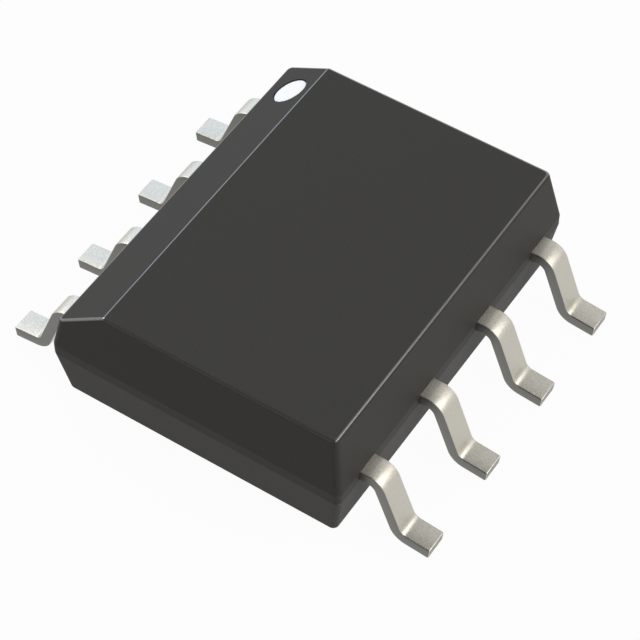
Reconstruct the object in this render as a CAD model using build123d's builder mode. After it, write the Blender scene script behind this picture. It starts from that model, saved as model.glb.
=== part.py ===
from build123d import *
import os
from math import atan2, cos, hypot, radians, sin, tan

# Eight-lead small-outline package of a synchronous rectifier controller, in millimetres.
# X runs across the two rows of leads and Y along them, and Z points up from the board.
# The origin is on the board, under the middle of the body. Lead 1 is at the far left (-X, +Y),
# leads 1 to 4 come down the left side and leads 5 to 8 go back up the right side.

# Moulded body
body_width = 3.96  # across the leads, at the parting band
body_length = 4.99  # along the rows, at the parting band
body_top = 1.75  # top face above the board
body_standoff = 0.10  # gap between the underside and the board
upper_draft_angle = 10  # lean of the walls above the parting band, in degrees
lower_draft_angle = 8.5  # and below it
corner_radius = 0.08  # upright corners
rim_radius = 0.05  # edges round the top, the bevel and the underside

# Bevel along the upper edge over leads 1 to 4
bevel_drop = 0.39
bevel_run = 0.62

# Lead 1 spot, printed in a shallow round recess of the bevel
spot_diameter = 0.46
spot_from_edge = 0.34  # from the bevel's upper edge to the middle of the spot, down the slope
spot_from_end = 0.59  # from the widest point of the end wall to the middle of the spot
spot_recess = 0.05
ink_thickness = 0.01

# Leads, each one strip of sheet metal
leads_per_side = 4
lead_pitch = 1.27
lead_span = 5.86  # from toe to toe
lead_width = 0.32
lead_thickness = 0.15
lead_height = 0.89  # middle of the metal above the board, where it leaves the body
leg_angle = 69  # slope of the leg, in degrees from level
foot_angle = 6  # the foot falls this much towards its toe, in degrees
foot_run = 0.42  # from the toe to the corner between leg and foot
bend_radius = 0.11  # on the inside of each bend
lead_edge_break = 0.015  # bevelled long edges and toe edges

# Inner ends of the leads
lock_depth = 0.15  # how deep behind the wall a lead widens, which locks it in the moulding
finger_width = 0.60
finger_pitch = 1.10  # the fingers close in on the chip
finger_gap = 0.25  # from a finger's tip to the pad
finger_corner_cut = 0.06

# Pad that carries the chip, with its two tie bars
pad_width = 2.30
pad_length = 3.00
pad_downset = 0.20  # the pad lies this much below the leads
pad_corner_radius = 0.15
tie_bar_width = 0.25
tie_ramp_run = 0.25
tie_bar_cover = 0.10  # moulding left over the end of each bar

# Chip and the glue under it
die_width = 1.40
die_length = 1.80
die_thickness = 0.25
glue_thickness = 0.025
glue_border = 0.05  # the glue squeezes out this much all round

# Bond wires
wire_diameter = 0.03
wire_flats = 8  # flats that stand for the round section of a wire and its ball
ball_diameter = 0.08
ball_height = 0.02
bond_pitch = 0.42  # along the chip
bond_inset = 0.10  # from the chip's edge to the middle of a ball
loop_height = 0.20  # above the chip
loop_radius = 0.08
tail_run = 0.35  # level length of the last stretch, down to the finger
tail_angle = 33
tail_radius = 0.30
landing_inset = 0.14  # from the finger's tip to where the wire lands

# Levels. The mould halves closed on the lead frame, so the upright band between them is as
# high as the frame is thick
strip_top = lead_height + lead_thickness / 2
strip_bottom = lead_height - lead_thickness / 2
band_top = strip_top
band_bottom = strip_bottom
pad_top = strip_top - pad_downset
pad_middle = lead_height - pad_downset
glue_top = pad_top + glue_thickness
die_top = glue_top + die_thickness

# Sloping walls
upper_draft = tan(radians(upper_draft_angle))
top_inset = (body_top - band_top) * upper_draft
bottom_inset = (band_bottom - body_standoff) * tan(radians(lower_draft_angle))
half_width = body_width / 2
half_length = body_length / 2

# Places across the body
lock_x = half_width - lock_depth
finger_tip_x = pad_width / 2 + finger_gap
finger_middle_x = (lock_x + finger_tip_x) / 2

# Bevel: its lower edge lies on the left wall, its upper edge on the top face
bevel_foot_z = body_top - bevel_drop
bevel_foot_x = -half_width + (bevel_foot_z - band_top) * upper_draft
bevel_edge_x = bevel_foot_x + bevel_run
bevel_slope = atan2(bevel_drop, bevel_run)
bevel_plane = Plane(
    origin=(
        bevel_edge_x - spot_from_edge * cos(bevel_slope),
        half_length - spot_from_end,
        body_top - spot_from_edge * sin(bevel_slope),
    ),
    x_dir=(0, 1, 0),
    z_dir=(-sin(bevel_slope), 0, cos(bevel_slope)),
)

lead_numbers = range(1, 2 * leads_per_side + 1)


def place(number, pitch):
    """Side (-1 left, 1 right) and Y of a numbered lead, finger or bond in a row of this pitch."""
    row_end = pitch * (leads_per_side - 1) / 2
    if number <= leads_per_side:
        return -1, row_end - pitch * (number - 1)
    return 1, pitch * (number - 1 - leads_per_side) - row_end


def side_plane(side, y):
    """Upright plane across the body, whose first direction points out of the given side."""
    return Plane(origin=(0, y, 0), x_dir=(side, 0, 0), z_dir=(0, -side, 0))


def make_lead(number):
    """Gull-wing lead: finger, shoulder, leg and foot in one strip of even thickness."""
    side, lead_y = place(number, lead_pitch)
    tip_y = place(number, finger_pitch)[1]
    fall = radians(foot_angle)
    # The lower edge of the toe, once bevelled, just touches the board
    toe_z = lead_thickness / 2 * cos(fall) - lead_edge_break * sin(fall)
    toe_x = lead_span / 2 - lead_thickness / 2 * sin(fall)
    heel_x = toe_x - foot_run
    heel_z = toe_z + foot_run * tan(fall)
    shoulder_x = heel_x - (lead_height - heel_z) / tan(radians(leg_angle))

    with BuildPart() as lead:
        with BuildSketch(side_plane(side, lead_y)):
            with BuildLine():
                FilletPolyline(
                    (finger_middle_x, lead_height),
                    (shoulder_x, lead_height),
                    (heel_x, heel_z),
                    (toe_x, toe_z),
                    radius=bend_radius + lead_thickness / 2,
                )
            trace(line_width=lead_thickness)
        extrude(amount=lead_width / 2, both=True)
        inner_end, *_, toe = lead.faces().filter_by(GeomType.PLANE).sort_by(
            lambda face: side * face.center().X
        )
        flanks = lead.faces().filter_by(Axis.Y)
        chamfer(flanks.edges() - inner_end.edges() + toe.edges().filter_by(Axis.Y), lead_edge_break)

        with BuildSketch(Plane.XY.offset(strip_bottom)) as finger:
            with BuildLine():
                Polyline(
                    (side * lock_x, lead_y - finger_width / 2),
                    (side * finger_tip_x, tip_y - finger_width / 2),
                    (side * finger_tip_x, tip_y + finger_width / 2),
                    (side * lock_x, lead_y + finger_width / 2),
                    close=True,
                )
            make_face()
            chamfer(finger.vertices(), finger_corner_cut)
        extrude(amount=lead_thickness)
    return lead.part


def make_wire(number):
    """Bond wire: a flattened ball on the chip, a loop and a tail that lands on the finger."""
    side, bond_y = place(number, bond_pitch)
    landing_y = place(number, finger_pitch)[1]
    start = Vector(side * (die_width / 2 - bond_inset), bond_y, die_top)
    landing = Vector(side * (finger_tip_x + landing_inset), landing_y, strip_top)
    reach = hypot(landing.X - start.X, landing.Y - start.Y)
    heading = (landing - start).project_to_plane(Plane.XY).normalized()
    loop_plane = Plane(origin=start, x_dir=heading, z_dir=heading.cross(Vector(0, 0, 1)))
    drop = strip_top - die_top
    slope = tan(radians(tail_angle))

    with BuildPart() as wire:
        with BuildSketch(Plane(origin=start)):
            RegularPolygon(ball_diameter / 2, wire_flats)
        extrude(amount=ball_height)
        with BuildLine(loop_plane) as loop:
            FilletPolyline(
                (0, ball_height / 2),
                (0, loop_height),
                (reach - tail_run, drop + tail_run * slope),
                (reach + wire_diameter, drop - wire_diameter * slope),
                radius=[loop_radius, tail_radius],
            )
        with BuildSketch(Plane(origin=loop.line @ 0, z_dir=loop.line % 0)):
            RegularPolygon(wire_diameter / 2, wire_flats)
        sweep(path=loop.line)
        split(bisect_by=Plane.XY.offset(strip_top), keep=Keep.TOP)
    return wire.part


leads = {f"lead_{number}": make_lead(number) for number in lead_numbers}
bond_wires = {f"bond_wire_{number}": make_wire(number) for number in lead_numbers}

# Pad and tie bars: one bent strip along Y with the wide pad across its sunken middle
with BuildPart() as die_pad:
    with BuildSketch(Plane.YZ):
        with BuildLine():
            bar_end = half_length - tie_bar_cover
            ramp_foot = pad_length / 2 + bend_radius + lead_thickness
            FilletPolyline(
                (-bar_end, lead_height),
                (-ramp_foot - tie_ramp_run, lead_height),
                (-ramp_foot, pad_middle),
                (ramp_foot, pad_middle),
                (ramp_foot + tie_ramp_run, lead_height),
                (bar_end, lead_height),
                radius=bend_radius + lead_thickness / 2,
            )
        trace(line_width=lead_thickness)
    extrude(amount=tie_bar_width / 2, both=True)
    with BuildSketch(Plane.XY.offset(pad_top)):
        RectangleRounded(pad_width, pad_length, pad_corner_radius)
    extrude(amount=-lead_thickness)

with BuildPart() as die_attach:
    with BuildSketch(Plane.XY.offset(pad_top)):
        Rectangle(die_width + 2 * glue_border, die_length + 2 * glue_border)
    extrude(amount=glue_thickness)

with BuildPart() as die:
    with BuildSketch(Plane.XY.offset(glue_top)):
        Rectangle(die_width, die_length)
    extrude(amount=die_thickness)

# Ink at the bottom of the recess in the bevel
with BuildPart() as pin_1_spot:
    with BuildSketch(bevel_plane.offset(-spot_recess)):
        Circle(spot_diameter / 2)
    extrude(amount=ink_thickness)

# Body: the section across the leads, with the bevel, crossed with the section along them
with BuildPart() as mould_body:
    with BuildSketch(Plane.XZ):
        with BuildLine():
            Polyline(
                (half_width - bottom_inset, body_standoff),
                (half_width, band_bottom),
                (half_width, band_top),
                (half_width - top_inset, body_top),
                (bevel_edge_x, body_top),
                (bevel_foot_x, bevel_foot_z),
                (-half_width, band_top),
                (-half_width, band_bottom),
                (-half_width + bottom_inset, body_standoff),
                close=True,
            )
        make_face()
    extrude(amount=half_length, both=True)
    with BuildSketch(Plane.YZ):
        with BuildLine():
            half_section = Polyline(
                (0, body_standoff),
                (half_length - bottom_inset, body_standoff),
                (half_length, band_bottom),
                (half_length, band_top),
                (half_length - top_inset, body_top),
                (0, body_top),
            )
            mirror(half_section, about=Plane.YZ)
        make_face()
    extrude(amount=half_width, both=True, mode=Mode.INTERSECT)

    # The upright corners are the only edges steeper than 45 degrees
    corners = mould_body.edges().filter_by(lambda edge: abs((edge % 0.5).Z) > sin(radians(45)))
    fillet(corners, corner_radius)
    top_face = mould_body.faces().sort_by(Axis.Z)[-1]
    underside = mould_body.faces().sort_by(Axis.Z)[0]
    bevel_face = mould_body.faces().filter_by(bevel_plane)[0]
    rims = top_face.edges() + (bevel_face.edges() - top_face.edges()) + underside.edges()
    fillet(rims, rim_radius)

    with BuildSketch(bevel_plane):
        Circle(spot_diameter / 2)
    extrude(amount=-spot_recess, mode=Mode.SUBTRACT)

    # The moulding lies against every piece that it holds
    for piece in (die_pad.part, die_attach.part, die.part, *leads.values(), *bond_wires.values()):
        add(piece, mode=Mode.SUBTRACT)

os.makedirs("parts", exist_ok=True)

mould_body.part.label = "mould_body"
export_step(mould_body.part, "parts/mould_body.step")
pin_1_spot.part.label = "pin_1_spot"
export_step(pin_1_spot.part, "parts/pin_1_spot.step")
die_pad.part.label = "die_pad"
export_step(die_pad.part, "parts/die_pad.step")
die_attach.part.label = "die_attach"
export_step(die_attach.part, "parts/die_attach.step")
die.part.label = "die"
export_step(die.part, "parts/die.step")
for name, piece in {**leads, **bond_wires}.items():
    piece.label = name
    export_step(piece, f"parts/{name}.step")
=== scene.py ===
# %% [markdown]
# # A synchronous rectifier controller in its small moulded package
#
# This lesson dresses a finished solid model of an eight-lead chip for its portrait. The solids
# already have their true sizes and places, so nothing here is moved or resized. What is left is
# what the eye sees: black moulding compound, tin-plated leads bent from sheet, a white spot of ink
# beside lead 1, and the light of a small studio.
#
# All lengths are in metres, and one millimetre is written as `MM`. X runs across the two rows of
# leads, Y along them, and Z up from the board.

import bpy
from math import asin, cos, degrees, pi, radians, sin, tan
from mathutils import Matrix, Vector


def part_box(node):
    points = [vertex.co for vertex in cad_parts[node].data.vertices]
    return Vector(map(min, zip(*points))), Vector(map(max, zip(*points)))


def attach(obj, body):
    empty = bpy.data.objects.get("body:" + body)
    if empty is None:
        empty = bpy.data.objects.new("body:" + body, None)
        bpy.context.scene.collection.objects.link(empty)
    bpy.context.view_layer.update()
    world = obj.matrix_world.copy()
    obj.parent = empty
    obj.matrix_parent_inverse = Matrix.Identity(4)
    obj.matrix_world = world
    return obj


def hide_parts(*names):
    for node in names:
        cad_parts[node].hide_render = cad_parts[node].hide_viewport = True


MM = 0.001

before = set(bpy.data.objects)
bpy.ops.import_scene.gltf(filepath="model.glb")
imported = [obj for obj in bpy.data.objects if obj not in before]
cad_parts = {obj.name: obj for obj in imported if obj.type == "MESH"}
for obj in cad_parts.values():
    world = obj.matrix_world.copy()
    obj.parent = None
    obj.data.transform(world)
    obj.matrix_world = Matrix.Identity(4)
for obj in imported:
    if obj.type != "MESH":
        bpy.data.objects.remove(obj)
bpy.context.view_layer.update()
print("solid nodes:", len(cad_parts))

# %% [markdown]
# ## Helpers for materials
#
# Each finish below is a small tree of nodes around one Principled shader. Written out in full, the
# trees would bury the few numbers that matter, so short helpers do the wiring. A value that is the
# same all over a piece sits on the shader's own socket, and only what varies comes through nodes.

# %% Start a finish, add its nodes and join them
METAL, NOT_METAL = 1.0, 0.0


def start_finish(name, metallic, roughness, specular=0.5):
    """New material with the constant values set on its Principled shader."""
    finish = bpy.data.materials.new(name)
    finish.use_nodes = True
    shader = finish.node_tree.nodes["Principled BSDF"]
    shader.inputs["Metallic"].default_value = metallic
    shader.inputs["Roughness"].default_value = roughness
    shader.inputs["Specular IOR Level"].default_value = specular
    return finish, shader


def add_node(finish, kind, inputs=None, **settings):
    """Add a node, set its properties and fill its inputs by name or number."""
    node = finish.node_tree.nodes.new(kind)
    for key, value in settings.items():
        setattr(node, key, value)
    for key, value in (inputs or {}).items():
        node.inputs[key].default_value = value
    return node


def join(finish, source, target):
    """Lead one socket into another."""
    finish.node_tree.links.new(source, target)


# %% [markdown]
# The patterns themselves come from noise. It is read at Object coordinates, the places on the
# piece in metres, so that a fleck stays where it is when the piece is seen from another side.
# Noise keeps to the middle of its range, so it is read from 0.3 to 0.7 unless told otherwise.

# %% Patterns: grain, a range of values, a range of colours, relief
NOISE_RANGE = (0.3, 0.7)


def grain(finish, size, detail=2.0, fineness=0.5, stretch=(1, 1, 1)):
    """Noise whose spots are about `size` across, longer along the axes with a smaller stretch."""
    places = add_node(finish, "ShaderNodeTexCoord").outputs["Object"]
    mapping = add_node(finish, "ShaderNodeMapping", {"Scale": stretch})
    join(finish, places, mapping.inputs["Vector"])
    noise = add_node(
        finish, "ShaderNodeTexNoise", {"Scale": 1 / size, "Detail": detail, "Roughness": fineness}
    )
    join(finish, mapping.outputs["Vector"], noise.inputs["Vector"])
    return noise.outputs["Fac"]


def between(finish, value, low, high, source=NOISE_RANGE):
    """Spread a value from the source range over low to high, and hold it there outside."""
    node = add_node(
        finish,
        "ShaderNodeMapRange",
        {"From Min": source[0], "From Max": source[1], "To Min": low, "To Max": high},
    )
    join(finish, value, node.inputs["Value"])
    return node.outputs["Result"]


def shades(finish, value, dark, light):
    """Colour that runs from dark to light over the range of noise."""
    node = add_node(finish, "ShaderNodeValToRGB")
    for element, position, colour in zip(node.color_ramp.elements, NOISE_RANGE, (dark, light)):
        element.position = position
        element.color = (*colour, 1)
    join(finish, value, node.inputs["Fac"])
    return node.outputs["Color"]


def relief(finish, shader, height, depth):
    """Let the light see hills of the given depth in metres."""
    node = add_node(finish, "ShaderNodeBump", {"Strength": 1.0, "Distance": depth})
    join(finish, height, node.inputs["Height"])
    join(finish, node.outputs["Normal"], shader.inputs["Normal"])


# %% [markdown]
# Some finishes change with the way a surface faces: the flank of a lead gets a painted shade that
# its rolled top hasn't. The Normal output of Texture Coordinate gives that direction in the piece's
# own axes, so it holds from every camera. These helpers turn it into shares between 0 and 1.

# %% Shares that follow the way a surface faces
def facing(finish, axis):
    """How squarely a surface faces along X, Y or Z, either way: 1 is square on."""
    parts = add_node(finish, "ShaderNodeSeparateXYZ")
    join(finish, add_node(finish, "ShaderNodeTexCoord").outputs["Normal"], parts.inputs["Vector"])
    size = add_node(finish, "ShaderNodeMath", operation="ABSOLUTE")
    join(finish, parts.outputs[axis], size.inputs[0])
    return size.outputs["Value"]


def facing_towards(finish, direction):
    """How squarely a surface faces one direction: 1 is square on and -1 is its back."""
    node = add_node(finish, "ShaderNodeVectorMath", {1: direction}, operation="DOT_PRODUCT")
    join(finish, add_node(finish, "ShaderNodeTexCoord").outputs["Normal"], node.inputs[0])
    return node.outputs["Value"]


def both(finish, first, second):
    """Share that is high only where both shares are."""
    node = add_node(finish, "ShaderNodeMath", operation="MULTIPLY")
    join(finish, first, node.inputs[0])
    join(finish, second, node.inputs[1])
    return node.outputs["Value"]


def blend_colour(finish, share, first, second):
    """The first colour where share is 0 and the second, plain numbers, where it is 1."""
    node = add_node(finish, "ShaderNodeMix", data_type="RGBA")
    node.inputs["B"].default_value = (*second, 1)
    join(finish, share, node.inputs["Factor"])
    join(finish, first, node.inputs["A"])
    return node.outputs["Result"]


# %% [markdown]
# ## Black moulding compound
#
# The body is epoxy filled with fine silica, pressed hot into a steel mould. The broad mould faces
# are spark-eroded, so they come out matte, with flecks of a few hundredths of a millimetre. On the
# narrow rims the resin skin is smoother and takes a thin line of light. Two materials could do
# this, but the solid has one skin, so one shader gives both: a rough base with little shine, and a
# clear coat that only the rims have.

# %% Matte base of the moulding compound
EPOXY_DARK = (0.0398, 0.0384, 0.0356)
EPOXY_LIGHT = (0.0458, 0.0444, 0.0411)
EPOXY_ROUGH, EPOXY_ROUGH_SPREAD = 0.55, 0.05
EPOXY_SHINE = 0.10
FLECK_SIZE = 0.035 * MM
FLECK_DEPTH = 0.0004 * MM
FLECK_DETAIL, FLECK_FINENESS = 3.0, 0.6

mould_compound, shader = start_finish("black_mould_compound", NOT_METAL, EPOXY_ROUGH, EPOXY_SHINE)
flecks = grain(mould_compound, FLECK_SIZE, FLECK_DETAIL, FLECK_FINENESS)
epoxy_colour = shades(mould_compound, flecks, EPOXY_DARK, EPOXY_LIGHT)
epoxy_roughness = between(
    mould_compound, flecks, EPOXY_ROUGH - EPOXY_ROUGH_SPREAD, EPOXY_ROUGH + EPOXY_ROUGH_SPREAD
)
join(mould_compound, epoxy_colour, shader.inputs["Base Color"])
join(mould_compound, epoxy_roughness, shader.inputs["Roughness"])
relief(mould_compound, shader, flecks, FLECK_DEPTH)
print("moulding compound nodes:", len(mould_compound.node_tree.nodes))

# %% [markdown]
# The rims are found by the way they face. The top faces straight up, the long bevel faces
# `BEVEL_FACES`, and the four side walls stand almost upright. What faces none of these ways is a
# rim. Each pair of numbers says between which two shares the coat fades in or out. The rim over the
# right row is smooth on its upper half only, so its line of light is thinner. The index of the coat
# is higher than that of resin. It was set until the line was as bright as it should be.

# %% Smooth skin on the rims
BEVEL_FACES = (-0.5324, 0.0, 0.8465)
RIGHT_ROW_FACES = (1, 0, 0)
WALL_LEANS = (0.55, 0.65)
TOP_ENDS = (0.975, 0.99)
BEVEL_ENDS = (0.990, 0.998)
RIGHT_ENDS = (0.51, 0.68)
RIM_ROUGH = 0.15
RIM_IOR = 2.2

upward = facing(mould_compound, "Z")
outward_left = facing_towards(mould_compound, BEVEL_FACES)
outward_right = facing_towards(mould_compound, RIGHT_ROW_FACES)
off_walls = between(mould_compound, upward, 0, 1, WALL_LEANS)
off_top = between(mould_compound, upward, 1, 0, TOP_ENDS)
off_bevel = between(mould_compound, outward_left, 1, 0, BEVEL_ENDS)
off_right = between(mould_compound, outward_right, 1, 0, RIGHT_ENDS)
rims = both(mould_compound, off_walls, off_top)
rims = both(mould_compound, both(mould_compound, rims, off_bevel), off_right)
join(mould_compound, rims, shader.inputs["Coat Weight"])
shader.inputs["Coat Roughness"].default_value = RIM_ROUGH
shader.inputs["Coat IOR"].default_value = RIM_IOR
print("rim skin index:", RIM_IOR)

# %% [markdown]
# ## Matte tin plate
#
# The leads are copper alloy with a coat of matte tin, which keeps them easy to solder. Its
# crystals show as a very fine grain on the level faces; on the legs and bends the former has
# rubbed them smoother. A picture of tin could be wrapped round each lead, but it would stretch in
# the bends, so the grain is noise. Where a face isn't level, a plain middle value takes most of
# the noise's place.

# %% Tin colour and grain
TIN_DARK = (0.46, 0.44, 0.39)
TIN_LIGHT = (0.60, 0.575, 0.515)
TIN_ROUGH, TIN_ROUGH_SPREAD = 0.38, 0.04
CRYSTAL_SIZE = 0.013 * MM
CRYSTAL_DEPTH = 0.0003 * MM
CRYSTAL_DETAIL = 0.0
CRYSTAL_RANGE = (0.25, 0.75)
PLAIN_VALUE = 0.5
RUBBED_SHARE = 0.3
LEVEL_ENDS = (0.5, 0.95)

tin_plate, shader = start_finish("matte_tin_plate", METAL, TIN_ROUGH)
crystals = between(tin_plate, grain(tin_plate, CRYSTAL_SIZE, CRYSTAL_DETAIL), *CRYSTAL_RANGE)
level_share = between(tin_plate, facing(tin_plate, "Z"), RUBBED_SHARE, 1, LEVEL_ENDS)
rubbed = add_node(tin_plate, "ShaderNodeMix", {"A": PLAIN_VALUE}, data_type="FLOAT")
join(tin_plate, level_share, rubbed.inputs["Factor"])
join(tin_plate, crystals, rubbed.inputs["B"])
tin_grain = rubbed.outputs["Result"]
tin_roughness = between(
    tin_plate, tin_grain, TIN_ROUGH - TIN_ROUGH_SPREAD, TIN_ROUGH + TIN_ROUGH_SPREAD
)
join(tin_plate, tin_roughness, shader.inputs["Roughness"])
relief(tin_plate, shader, tin_grain, CRYSTAL_DEPTH)
print("roughness of tin:", TIN_ROUGH, "give or take", TIN_ROUGH_SPREAD)

# %% [markdown]
# The flanks get a darker, plainer colour that is painted shade: it stands in for the dark
# surroundings they would mirror. The toe was sheared off last and shows a dull torn edge, and its
# darker colour and lower metal are partly painted shade as well. Separate materials would need each
# face to be picked by hand. The way a face looks tells flank and toe apart just as well, and every
# lead can share one tin.

# %% Painted shade on the flanks, and sheared toes that are partly painted shade
# Painted shade: the flank colour is darkened in place of the dark surroundings it would mirror.
FLANK_PAINTED_SHADE = (0.172, 0.170, 0.158)
FLANK_ENDS = (0.6, 0.9)
# The toe's grey and lower metal are its dull sheared edge, and partly painted shade.
TOE_TIN_AND_PAINTED_SHADE = (0.215, 0.208, 0.19)
TOE_METAL = 0.33
TOE_ENDS = (0.955, 0.985)

flank_shade_share = between(tin_plate, facing(tin_plate, "Y"), 0, 1, FLANK_ENDS)
toe_share = between(tin_plate, facing(tin_plate, "X"), 0, 1, TOE_ENDS)
tin_colour = shades(tin_plate, tin_grain, TIN_DARK, TIN_LIGHT)
# Painted shade on the toes and the flanks is blended over the tin grain here.
tin_colour = blend_colour(tin_plate, toe_share, tin_colour, TOE_TIN_AND_PAINTED_SHADE)
tin_colour = blend_colour(tin_plate, flank_shade_share, tin_colour, FLANK_PAINTED_SHADE)
tin_metal = between(tin_plate, toe_share, METAL, TOE_METAL, (0, 1))
join(tin_plate, tin_colour, shader.inputs["Base Color"])
join(tin_plate, tin_metal, shader.inputs["Metallic"])
print("tin plate nodes:", len(tin_plate.node_tree.nodes))

# %% [markdown]
# ## White ink
#
# The spot beside lead 1 is one drop of white ink stamped into a shallow round recess. A plain white
# would look like paper there. Ink dries with faint clouds and a slightly uneven skin, so soft noise
# moves its white by a hair.

# %% White spot ink
INK_DARK = (0.905, 0.91, 0.91)
INK_LIGHT = (0.945, 0.95, 0.95)
INK_ROUGH = 0.55
CLOUD_SIZE = 0.06 * MM
CLOUD_DEPTH = 0.001 * MM
CLOUD_DETAIL, CLOUD_FINENESS = 3.0, 0.6

white_ink, shader = start_finish("white_spot_ink", NOT_METAL, INK_ROUGH)
clouds = grain(white_ink, CLOUD_SIZE, CLOUD_DETAIL, CLOUD_FINENESS)
join(white_ink, shades(white_ink, clouds, INK_DARK, INK_LIGHT), shader.inputs["Base Color"])
relief(white_ink, shader, clouds, CLOUD_DEPTH)
print("ink ready:", white_ink.name)

# %% [markdown]
# ## The pieces inside
#
# Nothing inside the body shows in the portrait, but whoever takes the part to pieces sees them, so
# each gets its own finish. The pad is rolled copper with long streaks, the glue is epoxy full of
# silver flakes, and the wires are drawn gold. Noise that is stretched along one axis gives
# streaks, and sharp noise of high contrast gives flakes. All three are made alike, so one helper
# serves them.

# %% A finish that follows one pattern
INNER_ROUGH_SPREAD = 0.06


def inner_finish(name, metallic, roughness, pattern, colours, depth):
    """Finish whose colour, roughness and relief all follow one pattern of noise."""
    finish, shader = start_finish(name, metallic, roughness)
    spots = grain(finish, **pattern)
    low, high = roughness - INNER_ROUGH_SPREAD, roughness + INNER_ROUGH_SPREAD
    join(finish, shades(finish, spots, *colours), shader.inputs["Base Color"])
    join(finish, between(finish, spots, low, high), shader.inputs["Roughness"])
    relief(finish, shader, spots, depth)
    return finish


# %% Copper, silver-filled glue and gold
COPPER_SHADES = ((0.56, 0.32, 0.21), (0.76, 0.47, 0.34))
GLUE_SHADES = ((0.30, 0.30, 0.31), (0.66, 0.66, 0.67))
GOLD_SHADES = ((0.78, 0.56, 0.20), (0.90, 0.70, 0.32))
ROLLED_STREAKS = {"size": 0.02 * MM, "detail": 3.0, "stretch": (1, 0.06, 1)}
SILVER_FLAKES = {"size": 0.012 * MM, "detail": 0.0}
DRAWN_LINES = {"size": 0.006 * MM, "detail": 1.0, "stretch": (0.2, 0.2, 1)}
COPPER_ROUGH, GLUE_ROUGH, GOLD_ROUGH = 0.34, 0.55, 0.20
STREAK_DEPTH, FLAKE_DEPTH, LINE_DEPTH = 0.0008 * MM, 0.002 * MM, 0.0003 * MM
GLUE_METAL = 0.4

copper = inner_finish(
    "lead_frame_copper", METAL, COPPER_ROUGH, ROLLED_STREAKS, COPPER_SHADES, STREAK_DEPTH
)
silver_glue = inner_finish(
    "silver_filled_glue", GLUE_METAL, GLUE_ROUGH, SILVER_FLAKES, GLUE_SHADES, FLAKE_DEPTH
)
gold = inner_finish("drawn_gold", METAL, GOLD_ROUGH, DRAWN_LINES, GOLD_SHADES, LINE_DEPTH)
print("inner finishes:", copper.name, silver_glue.name, gold.name)

# %% [markdown]
# The chip is a polished crystal whose face is covered with blocks of circuit. A brick pattern laid
# flat over it stands for those blocks: two slate tones, with thin lighter lanes between them.

# %% Silicon with circuit blocks
BLOCK_LONG, BLOCK_WIDE, LANE = 0.17 * MM, 0.11 * MM, 0.008 * MM
SLATE_BLUE, SLATE_VIOLET, LANE_GREY = (0.10, 0.11, 0.15), (0.16, 0.13, 0.19), (0.30, 0.29, 0.30)
SILICON_METAL, SILICON_ROUGH = 0.2, 0.14
CIRCUIT_DEPTH = 0.0004 * MM

silicon, shader = start_finish("polished_silicon", SILICON_METAL, SILICON_ROUGH)
circuit = add_node(
    silicon,
    "ShaderNodeTexBrick",
    {
        "Color1": (*SLATE_BLUE, 1),
        "Color2": (*SLATE_VIOLET, 1),
        "Mortar": (*LANE_GREY, 1),
        "Scale": 1.0,
        "Brick Width": BLOCK_LONG,
        "Row Height": BLOCK_WIDE,
        "Mortar Size": LANE,
    },
)
join(silicon, add_node(silicon, "ShaderNodeTexCoord").outputs["Object"], circuit.inputs["Vector"])
join(silicon, circuit.outputs["Color"], shader.inputs["Base Color"])
relief(silicon, shader, circuit.outputs["Fac"], CIRCUIT_DEPTH)
print("circuit block in mm:", round(BLOCK_LONG / MM, 3), "by", round(BLOCK_WIDE / MM, 3))

# %% [markdown]
# ## Dress the solids
#
# A solid node keeps its mesh and its place. Only its material slots change, which is all that the
# body and the inner pieces need. One wire goes to each lead, so the wires are numbered like the
# leads. The leads and the ink spot get meshes of their own further down.

# %% Put each finish on its nodes
LEADS_PER_ROW = 4
LEAD_NUMBERS = range(1, 2 * LEADS_PER_ROW + 1)


def dress(node, finish):
    """Put one finish into every material slot of a solid node."""
    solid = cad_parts[node]
    if not solid.material_slots:
        solid.data.materials.append(finish)
    for material_slot in solid.material_slots:
        material_slot.material = finish


WARDROBE = {
    "mould_body": mould_compound,
    "die_pad": copper,
    "die_attach": silver_glue,
    "die": silicon,
}
WARDROBE.update({f"bond_wire_{number}": gold for number in LEAD_NUMBERS})
for node, finish in WARDROBE.items():
    dress(node, finish)
print("nodes dressed:", len(WARDROBE))

# %% [markdown]
# ## A drop of ink
#
# The solid spot is a thin flat disc on the floor of its recess. Real ink fills such a recess almost
# to the brim and dries with a soft shoulder and a slightly raised middle. A cylinder primitive has
# none of that, so the drop is turned like a pot instead: a profile of radius and height, both in
# millimetres, is carried round in steps, and each pair of rings is joined by a band of faces. The
# middle of the solid's box gives the place, and the direction of the bevel gives the tilt.

# %% Where the drop sits
DISC_THICKNESS = 0.01 * MM

bevel_out = Vector(BEVEL_FACES).normalized()
along_bevel = Vector((0, 1, 0))
up_bevel = along_bevel.cross(bevel_out)
spot_box = [Vector(corner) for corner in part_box("pin_1_spot")]
recess_floor = (spot_box[0] + spot_box[1]) / 2 - bevel_out * DISC_THICKNESS / 2


def on_bevel(radius, height, turn):
    """Place at a radius and turn round the middle of the recess, raised by height; in mm."""
    spoke = up_bevel * cos(turn) + along_bevel * sin(turn)
    return recess_floor + (spoke * radius + bevel_out * height) * MM


print("recess floor in mm:", [round(value / MM, 3) for value in recess_floor])

# %% Turn the drop
DROP_PROFILE = (
    (0.222, 0.000), (0.222, 0.029), (0.220, 0.034), (0.214, 0.0375),
    (0.202, 0.0395), (0.160, 0.0410), (0.080, 0.0420),
)
DROP_MIDDLE = 0.0423
DROP_STEPS = 72


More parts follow.
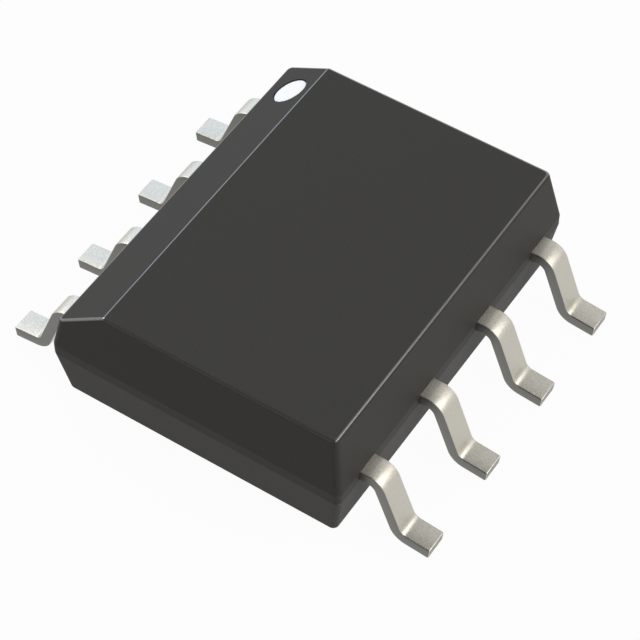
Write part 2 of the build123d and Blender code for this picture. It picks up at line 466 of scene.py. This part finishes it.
def turned_mesh(name, profile, middle, steps):
    """Closed mesh turned from a profile that starts at the foot and ends near the middle."""
    turns = [2 * pi * step / steps for step in range(steps)]
    places = [on_bevel(radius, height, turn) for radius, height in profile for turn in turns]
    places.append(on_bevel(0, middle, 0))
    faces = [tuple(reversed(range(steps)))]
    for ring in range(len(profile) - 1):
        low, high = ring * steps, (ring + 1) * steps
        faces += [
            (low + step, low + (step + 1) % steps, high + (step + 1) % steps, high + step)
            for step in range(steps)
        ]
    last, top = (len(profile) - 1) * steps, len(places) - 1
    faces += [(last + step, last + (step + 1) % steps, top) for step in range(steps)]
    mesh = bpy.data.meshes.new(name)
    mesh.from_pydata(places, [], faces)
    mesh.shade_smooth()
    return mesh


ink_drop = bpy.data.objects.new(
    "ink_drop", turned_mesh("ink_drop", DROP_PROFILE, DROP_MIDDLE, DROP_STEPS)
)
bpy.context.scene.collection.objects.link(ink_drop)
ink_drop.data.materials.append(white_ink)
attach(ink_drop, "root")
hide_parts("pin_1_spot")
print("ink drop faces:", len(ink_drop.data.polygons), "middle in mm:", DROP_MIDDLE)

# %% [markdown]
# ## Eight gull-wing leads
#
# A real lead is one strip of copper alloy, punched flat and then bent over a former: out of the
# body, down the leg and out again along the foot. Each could be modelled by pushing faces about,
# but all eight follow one rule, so a Geometry Nodes tree makes them. A line with four points has
# its corners rounded, a flat section is swept along it, and a second, flat outline is thickened
# into the wide finger that holds the lead in the body. The section has softly rounded long edges,
# which a punched and plated strip always has. Heights are given for the middle of the sheet.

# %% Sizes of one lead
LEAD_WIDTH = 0.32 * MM
SHEET_THICKNESS = 0.15 * MM
SHOULDER_HEIGHT = 0.89 * MM
LEAD_REACH = 2.93 * MM
TOE_HEIGHT = 0.0732 * MM
FOOT_RUN = 0.42 * MM
FOOT_FALL = radians(6)
LEG_SLOPE = radians(69)
BEND_RADIUS = 0.11 * MM
LEAD_PITCH = 1.27 * MM
print("strip in mm:", round(LEAD_WIDTH / MM, 3), "by", round(SHEET_THICKNESS / MM, 3))

# %% [markdown]
# ### The path of the sheet
#
# Four corners lie on the path: root, shoulder, heel and toe. They could all be typed in as numbers,
# but then a change of slope would leave the foot behind. So only the toe is given. The heel lies
# one run of the foot further in, and the shoulder where a leg of the right slope reaches its
# height. The strip starts a little inside the finger, so that the two pieces of metal overlap.

# %% Four corners of the path
FINGER_ROOT = 1.83 * MM
FINGER_OVERLAP = 0.1 * MM

toe = Vector((LEAD_REACH - SHEET_THICKNESS / 2 * sin(FOOT_FALL), 0, TOE_HEIGHT))
heel = toe + Vector((-FOOT_RUN, 0, FOOT_RUN * tan(FOOT_FALL)))
shoulder = Vector((heel.x - (SHOULDER_HEIGHT - heel.z) / tan(LEG_SLOPE), 0, SHOULDER_HEIGHT))
root = Vector((FINGER_ROOT - FINGER_OVERLAP, 0, SHOULDER_HEIGHT))
for name, corner in (("root", root), ("shoulder", shoulder), ("heel", heel), ("toe", toe)):
    print(f"{name} at {corner.x / MM:.3f} mm across and {corner.z / MM:.3f} mm up")

# %% [markdown]
# Geometry Nodes trees are wired like materials. Sizes arrive as sockets, so sums and products of
# them need Math nodes too. The helpers below keep that readable: `product` and `total` take
# sockets or plain numbers, `point` gathers three of them into a place, and `line_through` lays a
# curve through such places.

# %% Helpers for Geometry Nodes
def tree_node(tree, kind, inputs=None, **settings):
    """Add a node to a geometry tree, set its properties and fill or link its inputs."""
    node = tree.nodes.new(kind)
    for key, value in settings.items():
        setattr(node, key, value)
    for key, value in (inputs or {}).items():
        if isinstance(value, bpy.types.NodeSocket):
            tree.links.new(value, node.inputs[key])
        else:
            node.inputs[key].default_value = value
    return node


def product(tree, first, second):
    """Multiply two values."""
    return tree_node(tree, "ShaderNodeMath", {0: first, 1: second}, operation="MULTIPLY").outputs[0]


def total(tree, first, second):
    """Add two values."""
    return tree_node(tree, "ShaderNodeMath", {0: first, 1: second}, operation="ADD").outputs[0]


def point(tree, x=0.0, y=0.0, z=0.0):
    """A place from three values."""
    return tree_node(tree, "ShaderNodeCombineXYZ", {"X": x, "Y": y, "Z": z}).outputs[0]


# %% A curve through given places
def line_through(tree, places, closed=False):
    """Poly curve whose points sit at the given places, in order."""
    # Every point is moved to its place later, so any spacing will do here.
    chain = tree_node(
        tree,
        "GeometryNodeMeshLine",
        {"Count": len(places), "Offset": (0, 0, MM)},
        mode="OFFSET",
        count_mode="TOTAL",
    )
    curve = tree_node(tree, "GeometryNodeMeshToCurve", {"Mesh": chain.outputs["Mesh"]})
    pick = tree_node(tree, "GeometryNodeIndexSwitch", data_type="VECTOR")
    while len(pick.index_switch_items) < len(places):
        pick.index_switch_items.new()
    tree.links.new(tree_node(tree, "GeometryNodeInputIndex").outputs[0], pick.inputs["Index"])
    for number, place in enumerate(places):
        tree.links.new(place, pick.inputs[number + 1])
    moved = tree_node(
        tree, "GeometryNodeSetPosition", {"Geometry": curve.outputs[0], "Position": pick.outputs[0]}
    )
    if not closed:
        return moved.outputs[0]
    ring = tree_node(tree, "GeometryNodeSetSplineCyclic", {0: moved.outputs[0], "Cyclic": True})
    return ring.outputs[0]


# %% [markdown]
# ### The strip
#
# Fillet Curve rounds the corners of the path, as the former does. Its radius is measured to the
# middle of the sheet, so half the thickness is added to the bend's inner radius. The same node
# softens the section before Curve to Mesh sweeps it along the path and closes both ends.

# %% Swept strip from shoulder to toe
BEND_STEPS = 14
EDGE_SOFTNESS = 0.015 * MM
EDGE_STEPS = 4


def bent_strip(tree, given):
    """Flat section swept along the rounded path."""
    path = line_through(tree, [given[name] for name in ("Root", "Shoulder", "Heel", "Toe")])
    half_sheet = product(tree, given["Sheet thickness"], 0.5)
    bent_path = tree_node(
        tree,
        "GeometryNodeFilletCurve",
        {
            "Curve": path,
            "Count": BEND_STEPS,
            "Radius": total(tree, given["Bend radius"], half_sheet),
        },
        mode="POLY",
    )
    section = tree_node(
        tree,
        "GeometryNodeCurvePrimitiveQuadrilateral",
        {"Width": given["Lead width"], "Height": given["Sheet thickness"]},
    )
    soft_section = tree_node(
        tree,
        "GeometryNodeFilletCurve",
        {"Curve": section.outputs[0], "Count": EDGE_STEPS, "Radius": EDGE_SOFTNESS},
        mode="POLY",
    )
    strip = tree_node(
        tree,
        "GeometryNodeCurveToMesh",
        {
            "Curve": bent_path.outputs[0],
            "Profile Curve": soft_section.outputs[0],
            "Fill Caps": True,
        },
    )
    return strip.outputs[0]


# %% [markdown]
# ### The finger
#
# Inside the body the strip widens into a flat finger, wider than the opening it came through, so
# that the lead can't be pulled out. Its inner end leans towards the chip. The outline is drawn on
# the floor, because Fill Curve works in the plane and drops every height. Its corners are cut, the
# filled face is raised to the underside of the sheet, and Extrude Mesh gives it the sheet's
# thickness. An extruded face loses its own bottom, so a turned copy of it closes the shell.

# %% Thick finger inside the body
FINGER_TIP = 1.40 * MM
FINGER_WIDTH = 0.60 * MM
FINGER_PITCH = 1.10 * MM
FINGER_CORNER = 0.1 * MM
WELD_DISTANCE = 0.0001 * MM


def thick_finger(tree, given):
    """Flat outline between finger root and tip, thickened like the sheet."""
    half_width = product(tree, given["Finger width"], 0.5)
    other_half = product(tree, half_width, -1.0)
    underside = total(tree, SHOULDER_HEIGHT, product(tree, given["Sheet thickness"], -0.5))
    tip_near = total(tree, given["Finger shift"], other_half)
    tip_far = total(tree, given["Finger shift"], half_width)
    outline = line_through(
        tree,
        [
            point(tree, given["Finger root"], other_half),
            point(tree, given["Finger tip"], tip_near),
            point(tree, given["Finger tip"], tip_far),
            point(tree, given["Finger root"], half_width),
        ],
        closed=True,
    )
    cut_outline = tree_node(
        tree,
        "GeometryNodeFilletCurve",
        {"Curve": outline, "Count": 1, "Radius": FINGER_CORNER},
        mode="POLY",
    )
    flat = tree_node(
        tree, "GeometryNodeFillCurve", {"Curve": cut_outline.outputs[0]}, mode="NGONS"
    )
    sheet = tree_node(
        tree,
        "GeometryNodeTransform",
        {"Geometry": flat.outputs[0], "Translation": point(tree, z=underside)},
    ).outputs[0]
    raised = tree_node(
        tree,
        "GeometryNodeExtrudeMesh",
        {
            "Mesh": sheet,
            "Offset": point(tree, z=given["Sheet thickness"]),
            "Offset Scale": 1.0,
            "Individual": False,
        },
        mode="FACES",
    )
    bottom = tree_node(tree, "GeometryNodeFlipFaces", {"Mesh": sheet})
    shell = tree_node(tree, "GeometryNodeJoinGeometry")
    tree.links.new(raised.outputs[0], shell.inputs[0])
    tree.links.new(bottom.outputs[0], shell.inputs[0])
    welded = tree_node(
        tree,
        "GeometryNodeMergeByDistance",
        {"Geometry": shell.outputs[0], "Distance": WELD_DISTANCE},
    )
    return welded.outputs[0]


# %% [markdown]
# ### The whole lead
#
# Strip and finger are joined, turned to their side of the body and moved along the row. Every size
# is a named input of the tree, so the same tree serves all eight leads. Realize Instances and Set
# Material come last, which makes the result a plain, dressed mesh.

# %% Tree with its named inputs
LEAD_INPUTS = {
    "Root": "NodeSocketVector",
    "Shoulder": "NodeSocketVector",
    "Heel": "NodeSocketVector",
    "Toe": "NodeSocketVector",
    "Lead width": "NodeSocketFloat",
    "Sheet thickness": "NodeSocketFloat",
    "Bend radius": "NodeSocketFloat",
    "Finger root": "NodeSocketFloat",
    "Finger tip": "NodeSocketFloat",
    "Finger width": "NodeSocketFloat",
    "Finger shift": "NodeSocketFloat",
    "Turn": "NodeSocketFloat",
    "Place in row": "NodeSocketFloat",
}


def plant_lead_tree(finish):
    """Geometry tree of one lead."""
    tree = bpy.data.node_groups.new("gull_wing_lead", "GeometryNodeTree")
    for name, kind in LEAD_INPUTS.items():
        tree.interface.new_socket(name, in_out="INPUT", socket_type=kind)
    tree.interface.new_socket("Lead", in_out="OUTPUT", socket_type="NodeSocketGeometry")
    given = tree_node(tree, "NodeGroupInput").outputs
    metal = tree_node(tree, "GeometryNodeJoinGeometry")
    tree.links.new(bent_strip(tree, given), metal.inputs[0])
    tree.links.new(thick_finger(tree, given), metal.inputs[0])
    placed = tree_node(
        tree,
        "GeometryNodeTransform",
        {
            "Geometry": metal.outputs[0],
            "Translation": point(tree, y=given["Place in row"]),
            "Rotation": point(tree, z=given["Turn"]),
        },
    )
    real = tree_node(tree, "GeometryNodeRealizeInstances", {0: placed.outputs[0]})
    dressed = tree_node(
        tree, "GeometryNodeSetMaterial", {"Geometry": real.outputs[0], "Material": finish}
    )
    tree.links.new(dressed.outputs[0], tree_node(tree, "NodeGroupOutput").inputs[0])
    return tree


gull_wing_lead = plant_lead_tree(tin_plate)
print("nodes in the lead tree:", len(gull_wing_lead.nodes))

# %% [markdown]
# ### Making the eight meshes
#
# Leads are counted down the left row and up the right one, seen from above. A holder object gets
# the tree as a modifier, each input set through the identifier of its socket, and a Bevel that
# breaks the sharp edges of the toe. The evaluated result becomes the holder's own mesh, and the
# modifiers go.

# %% Where a lead stands
ROW_MIDDLE = (LEADS_PER_ROW + 1) / 2
HALF_TURN = radians(180)


def place_of(number):
    """Side of the body (-1 or 1) and distance along the row of a lead."""
    if number <= LEADS_PER_ROW:
        return -1, (ROW_MIDDLE - number) * LEAD_PITCH
    return 1, (number - LEADS_PER_ROW - ROW_MIDDLE) * LEAD_PITCH


def sizes_of(number):
    """Value of every input of the tree for one lead."""
    side, along = place_of(number)
    return {
        "Root": root,
        "Shoulder": shoulder,
        "Heel": heel,
        "Toe": toe,
        "Lead width": LEAD_WIDTH,
        "Sheet thickness": SHEET_THICKNESS,
        "Bend radius": BEND_RADIUS,
        "Finger root": FINGER_ROOT,
        "Finger tip": FINGER_TIP,
        "Finger width": FINGER_WIDTH,
        "Finger shift": side * along * (FINGER_PITCH / LEAD_PITCH - 1),
        "Turn": 0.0 if side > 0 else HALF_TURN,
        "Place in row": along,
    }


# %% Make one lead
TOE_BREAK = 0.018 * MM
TOE_BREAK_STEPS = 2
SHARP_ANGLE = radians(50)


def make_lead(number):
    """Plain mesh of one lead, which stands for its solid node."""
    name = f"plated_lead_{number}"
    lead = bpy.data.objects.new(name, bpy.data.meshes.new("blank"))
    bpy.context.scene.collection.objects.link(lead)
    maker = lead.modifiers.new("gull_wing", "NODES")
    maker.node_group = gull_wing_lead
    sizes = sizes_of(number)
    for socket in gull_wing_lead.interface.items_tree:
        if socket.in_out == "INPUT":
            maker[socket.identifier] = sizes[socket.name]
    toe_edges = lead.modifiers.new("broken_toe_edges", "BEVEL")
    toe_edges.width = TOE_BREAK
    toe_edges.segments = TOE_BREAK_STEPS
    toe_edges.limit_method = "ANGLE"
    toe_edges.angle_limit = SHARP_ANGLE
    toe_edges.use_clamp_overlap = False
    toe_edges.harden_normals = True
    graph = bpy.context.evaluated_depsgraph_get()
    mesh = bpy.data.meshes.new_from_object(lead.evaluated_get(graph), depsgraph=graph)
    mesh.name = name
    lead.modifiers.clear()
    lead.data = mesh
    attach(lead, "root")
    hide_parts(f"lead_{number}")
    return lead


# %% Make all eight
plated_leads = [make_lead(number) for number in LEAD_NUMBERS]
reach = max(corner.co.x for corner in plated_leads[-1].data.vertices)
print("faces of a lead:", len(plated_leads[0].data.polygons), "reach in mm:", round(reach / MM, 4))

# %% [markdown]
# ## White studio
#
# The chip is photographed on white, and polished and plated faces show that white too. If lamps
# had to burn the floor to white, they would wash out the chip. A wide flat sheet is enough, because
# the paper it gets next looks white without them.

# %% Floor
FLOOR_HALF = 0.4

floor_mesh = bpy.data.meshes.new("studio_floor")
floor_mesh.from_pydata(
    [(x * FLOOR_HALF, y * FLOOR_HALF, 0) for x, y in ((-1, -1), (1, -1), (1, 1), (-1, 1))],
    [],
    [(0, 1, 2, 3)],
)
floor = bpy.data.objects.new("studio_floor", floor_mesh)
bpy.context.scene.collection.objects.link(floor)
print("floor in m:", 2 * FLOOR_HALF, "across")

# %% [markdown]
# The paper is plain for the light that falls on it and bounces on. For the camera, for mirror rays
# and for rays through something clear, most of it is white on its own. The Light Path node tells
# these rays apart: each of its outputs is 1 or 0, and the largest of three is 1 as soon as one of
# them is. The small rest of plain paper keeps a trace of the chip's shadow.

# %% Paper that mirrors and the camera see as white
PAPER_COLOUR = (0.6, 0.6, 0.6, 1)
WHITE_SHARE = 0.96

paper = bpy.data.materials.new("white_paper")
paper.use_nodes = True
paper.node_tree.nodes.clear()
rays = add_node(paper, "ShaderNodeLightPath")
seen = add_node(paper, "ShaderNodeMath", operation="MAXIMUM")
join(paper, rays.outputs["Is Camera Ray"], seen.inputs[0])
join(paper, rays.outputs["Is Glossy Ray"], seen.inputs[1])
seen_or_through = add_node(paper, "ShaderNodeMath", operation="MAXIMUM")
join(paper, seen.outputs[0], seen_or_through.inputs[0])
join(paper, rays.outputs["Is Transmission Ray"], seen_or_through.inputs[1])
white_share = add_node(paper, "ShaderNodeMath", {1: WHITE_SHARE}, operation="MULTIPLY")
join(paper, seen_or_through.outputs[0], white_share.inputs[0])
blend = add_node(paper, "ShaderNodeMixShader")
join(paper, white_share.outputs[0], blend.inputs["Fac"])
lit = add_node(paper, "ShaderNodeBsdfDiffuse", {"Color": PAPER_COLOUR})
join(paper, lit.outputs[0], blend.inputs[1])
white = add_node(paper, "ShaderNodeEmission", {"Color": (1, 1, 1, 1), "Strength": 1.0})
join(paper, white.outputs[0], blend.inputs[2])
join(paper, blend.outputs[0], add_node(paper, "ShaderNodeOutputMaterial").inputs["Surface"])
floor_mesh.materials.append(paper)
print("white of its own:", WHITE_SHARE)

# %% [markdown]
# ## Air of the studio
#
# Above the floor the room is not evenly bright. A low band all round is as white as the backdrop,
# and higher up the room is dimmer, most of all in front, where the camera stands. That keeps the
# front walls dark and the back softly lit. A picture of a room could do this, but two gradients
# are enough: the height of a direction decides between band and room, and its Y decides how dim
# the room is.

# %% World
BACKDROP = 0.9
ROOM_BEHIND = 0.92
ROOM_IN_FRONT = 0.05
BAND_TOP = (0.22, 0.34)
FRONT_TO_BACK = (0.1, 0.5)
AIR_COLOUR = (1.0, 0.985, 0.96)

studio_air = bpy.data.worlds.new("studio_air")
bpy.context.scene.world = studio_air
studio_air.use_nodes = True
studio_air.node_tree.nodes.clear()
direction = add_node(studio_air, "ShaderNodeSeparateXYZ")
heading = add_node(studio_air, "ShaderNodeTexCoord").outputs["Generated"]
join(studio_air, heading, direction.inputs["Vector"])
room = between(studio_air, direction.outputs["Y"], ROOM_IN_FRONT, ROOM_BEHIND, FRONT_TO_BACK)
band_and_room = add_node(
    studio_air,
    "ShaderNodeMapRange",
    {"From Min": BAND_TOP[0], "From Max": BAND_TOP[1], "To Min": BACKDROP},
)
join(studio_air, direction.outputs["Z"], band_and_room.inputs["Value"])
join(studio_air, room, band_and_room.inputs["To Max"])
air = add_node(studio_air, "ShaderNodeBackground", {"Color": (*AIR_COLOUR, 1)})
join(studio_air, band_and_room.outputs["Result"], air.inputs["Strength"])
join(
    studio_air, air.outputs[0], add_node(studio_air, "ShaderNodeOutputWorld").inputs["Surface"]
)
print("white band up to", round(degrees(asin(BAND_TOP[0])), 1), "degrees above the horizon")

# %% [markdown]
# ## Lamps
#
# Four soft boxes light the chip, each several times larger than the chip itself. Two of them hang
# where parts of the chip mirror them. The one behind on the left is cool and shows in the left
# feet and bends. The narrow one on the right is neutral and draws the highlight along the right
# bends. The other two hang where hardly anything mirrors them, and only fill. A radiance of 1
# looks as bright in a mirror as white paper, and the cool box stays below that. The others may be
# brighter, because the rough tin blurs the one it mirrors and dark epoxy takes most of their light.

# %% A soft box
LAMP_DISTANCE = 60 * MM


def hang_softbox(name, azimuth, elevation, width, height, radiance, colour):
    """Area lamp that faces the chip; azimuth 0 is in front and 90 on the right."""
    turn, rise = radians(azimuth), radians(elevation)
    place = Vector((sin(turn) * cos(rise), -cos(turn) * cos(rise), sin(rise))) * LAMP_DISTANCE
    light = bpy.data.lights.new(name, "AREA")
    light.shape = "RECTANGLE"
    light.size, light.size_y = width, height
    # A flat lamp gives off its radiance times its area times pi.
    light.energy = radiance * width * height * pi
    light.color = colour
    lamp = bpy.data.objects.new(name, light)
    bpy.context.scene.collection.objects.link(lamp)
    lamp.location = place
    lamp.rotation_mode = "QUATERNION"
    lamp.rotation_quaternion = place.to_track_quat("Z", "Y")
    lamp.visible_camera = False
    print(f"{name}: {light.energy * 1000:.1f} mW at {azimuth} degrees")
    return lamp


# %% Hang all four
SOFT_BOXES = {
    "window_left": (228, 31, 50 * MM, 68 * MM, 0.875, (0.53, 0.72, 1.0)),
    "window_right": (118, 38, 20 * MM, 36 * MM, 2.3, (1.0, 0.995, 0.98)),
    "fill_right": (88, 38, 43 * MM, 43 * MM, 2.5, (1.0, 0.99, 0.95)),
    "fill_left": (275, 35, 38 * MM, 38 * MM, 4.1, (1.0, 0.975, 0.94)),
}
for name, box in SOFT_BOXES.items():
    hang_softbox(name, *box)

# %% [markdown]
# ## Camera
#
# The camera stands in front on the right, high up, and looks down on the chip. Its place, aim,
# roll and lens could be found by eye, but here they were worked out from the photograph, by
# matching the outlines of the body and the leads. A long lens keeps the rows of leads almost
# parallel.

# %% Camera and view transform
CAMERA_PLACE = Vector((10.106, -15.688, 23.774)) * MM
CAMERA_AIM = Vector((0.4026, -0.4499, 0.8981)) * MM
CAMERA_ROLL = radians(0.667)
LENS = 140.13
SENSOR = 36.0
NEAREST_SEEN, FARTHEST_SEEN = 1 * MM, 2.0

camera_data = bpy.data.cameras.new("portrait_camera")
camera_data.sensor_width = SENSOR
camera_data.lens = LENS
camera_data.clip_start, camera_data.clip_end = NEAREST_SEEN, FARTHEST_SEEN
camera = bpy.data.objects.new("portrait_camera", camera_data)
bpy.context.scene.collection.objects.link(camera)
camera.location = CAMERA_PLACE
camera.rotation_mode = "QUATERNION"
towards_chip = (CAMERA_AIM - CAMERA_PLACE).to_track_quat("-Z", "Y")
camera.rotation_quaternion = towards_chip @ Matrix.Rotation(CAMERA_ROLL, 3, "Z").to_quaternion()
bpy.context.scene.camera = camera
bpy.context.scene.view_settings.view_transform = "Standard"
print("camera to chip in mm:", round((CAMERA_AIM - CAMERA_PLACE).length / MM, 2))
